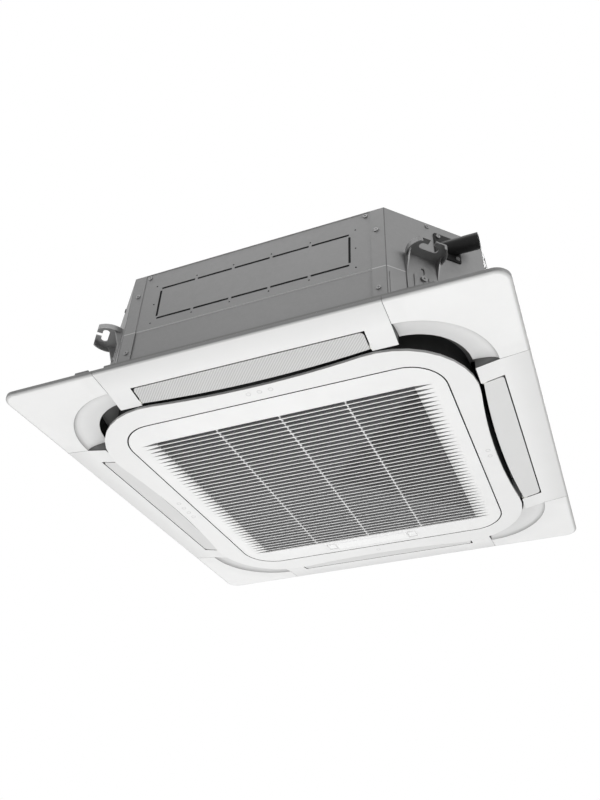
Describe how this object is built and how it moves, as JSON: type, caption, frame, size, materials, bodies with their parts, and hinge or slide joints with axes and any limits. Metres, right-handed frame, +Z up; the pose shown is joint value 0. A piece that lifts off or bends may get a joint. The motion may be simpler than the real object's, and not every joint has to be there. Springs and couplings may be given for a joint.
{
  "type": "ceiling cassette air conditioner",
  "caption": "Ceiling cassette air conditioner: steel casing with hanger brackets and drain outlet, square white panel with air flaps, corner outlets and a slatted intake grille.",
  "frame": {"origin": "middle of the four hanging-bolt slots, on the underside of the bracket shelves", "axes": "+Z up, -Y towards the side with the duct knock-out, +X towards the drain outlet's side"},
  "size_m": [0.95, 0.95, 0.3135],
  "materials": {
    "casing_steel": "galvanised sheet, satin",
    "bracket_steel": "dark zinc-coated sheet",
    "screw_steel": "zinc plated",
    "liner_foam": "expanded foam",
    "pan_foam": "moulded foam",
    "plug_rubber": "matte",
    "fins": "stacked fins",
    "copper": "drawn tube",
    "nut_brass": "machined",
    "motor_metal": "cast, satin",
    "mount_rubber": "matte",
    "shaft_steel": "ground",
    "fan_plastic": "moulded",
    "bell_plastic": "moulded",
    "box_steel": "galvanised sheet",
    "board": "circuit board",
    "terminal_plastic": "moulded",
    "pump_plastic": "moulded",
    "float_plastic": "moulded",
    "hose_rubber": "matte",
    "outlet_plastic": "moulded",
    "duct_foam": "moulded foam",
    "panel_plastic": "satin moulded",
    "seal_foam": "closed-cell foam",
    "flap_plastic": "textured moulded",
    "grille_plastic": "satin moulded",
    "filter_mesh": "net on a moulded frame"
  },
  "bodies": {
    "root": {"top_plate": "casing_steel", "side_panel_front": "casing_steel", "side_panel_rear": "casing_steel", "side_panel_left": "casing_steel", "side_panel_right": "casing_steel", "corner_panel_front_left": "casing_steel", "corner_panel_front_right": "casing_steel", "corner_panel_rear_left": "casing_steel", "corner_panel_rear_right": "casing_steel", "casing_fasteners": "screw_steel", "hanger_bracket_front_left": "bracket_steel", "hanger_bracket_front_right": "bracket_steel", "hanger_bracket_rear_left": "bracket_steel", "hanger_bracket_rear_right": "bracket_steel", "foam_liner": "liner_foam", "drain_pan": "pan_foam", "drain_plug": "plug_rubber", "coil_fins": "fins", "coil_end_plates": "fins", "coil_tubes": "copper", "gas_pipe": "copper", "liquid_pipe": "copper", "flare_nuts": "nut_brass", "fan_motor": "motor_metal", "motor_rubbers": "mount_rubber", "bell_mouth": "bell_plastic", "control_box": "box_steel", "control_box_cover": "box_steel", "control_board": "board", "terminal_block": "terminal_plastic", "drain_pump": "pump_plastic", "float_switch": "pump_plastic", "drain_hose": "hose_rubber", "drain_outlet": "outlet_plastic", "duct_liner": "duct_foam", "panel_frame": "panel_plastic", "panel_box": "panel_plastic", "panel_gasket": "seal_foam", "corner_cover_front_left": "panel_plastic", "corner_cover_front_right": "panel_plastic", "corner_cover_rear_left": "panel_plastic", "corner_cover_rear_right": "panel_plastic", "intake_frame": "panel_plastic", "flap_motors": "motor_metal", "flap_bushes": "bell_plastic", "panel_bolts": "screw_steel"},
    "fan": {"motor_shaft": "shaft_steel", "turbo_fan": "fan_plastic", "fan_nut": "shaft_steel"},
    "float": {"float": "float_plastic"},
    "grille": {"intake_grille": "grille_plastic", "air_filter": "filter_mesh", "receiver_strip": "grille_plastic"},
    "latch_left": {"latch_left": "grille_plastic"},
    "latch_right": {"latch_right": "grille_plastic"},
    "button": {"manual_button": "grille_plastic"},
    "flap_front": {"flap_front": "flap_plastic"},
    "flap_rear": {"flap_rear": "flap_plastic"},
    "flap_left": {"flap_left": "flap_plastic"},
    "flap_right": {"flap_right": "flap_plastic"}
  },
  "joints": [
    {"name": "fan_spin", "type": "hinge", "parent": "root", "child": "fan", "pos_m": [0, 0, 0], "axis": [0, 0, 1], "continuous": true},
    {"name": "flap_front", "type": "hinge", "parent": "root", "child": "flap_front", "pos_m": [0, -0.384, -0.189], "axis": [1, 0, 0], "range_deg": [0, 75]},
    {"name": "flap_right", "type": "hinge", "parent": "root", "child": "flap_right", "pos_m": [0.384, 0, -0.189], "axis": [0, 1, 0], "range_deg": [0, 75]},
    {"name": "flap_rear", "type": "hinge", "parent": "root", "child": "flap_rear", "pos_m": [0, 0.384, -0.189], "axis": [-1, 0, 0], "range_deg": [0, 75]},
    {"name": "flap_left", "type": "hinge", "parent": "root", "child": "flap_left", "pos_m": [-0.384, 0, -0.189], "axis": [0, -1, 0], "range_deg": [0, 75]},
    {"name": "grille_hinge", "type": "hinge", "parent": "root", "child": "grille", "pos_m": [0, -0.3347, -0.196], "axis": [-1, 0, 0], "range_deg": [0, 85]},
    {"name": "latch_left", "type": "hinge", "parent": "grille", "child": "latch_left", "pos_m": [-0.1025, 0.283, -0.1978], "axis": [1, 0, 0], "range_deg": [0, 8], "stiffness_Nm_per_rad": 0.4},
    {"name": "latch_right", "type": "hinge", "parent": "grille", "child": "latch_right", "pos_m": [0.1025, 0.283, -0.1978], "axis": [1, 0, 0], "range_deg": [0, 8], "stiffness_Nm_per_rad": 0.4},
    {"name": "float_slide", "type": "slide", "parent": "root", "child": "float", "axis": [0, 0, 1], "range_m": [0, 0.012]},
    {"name": "button_press", "type": "slide", "parent": "grille", "child": "button", "axis": [0, 0, 1], "range_m": [0, 0.001], "stiffness_N_per_m": 300}
  ]
}
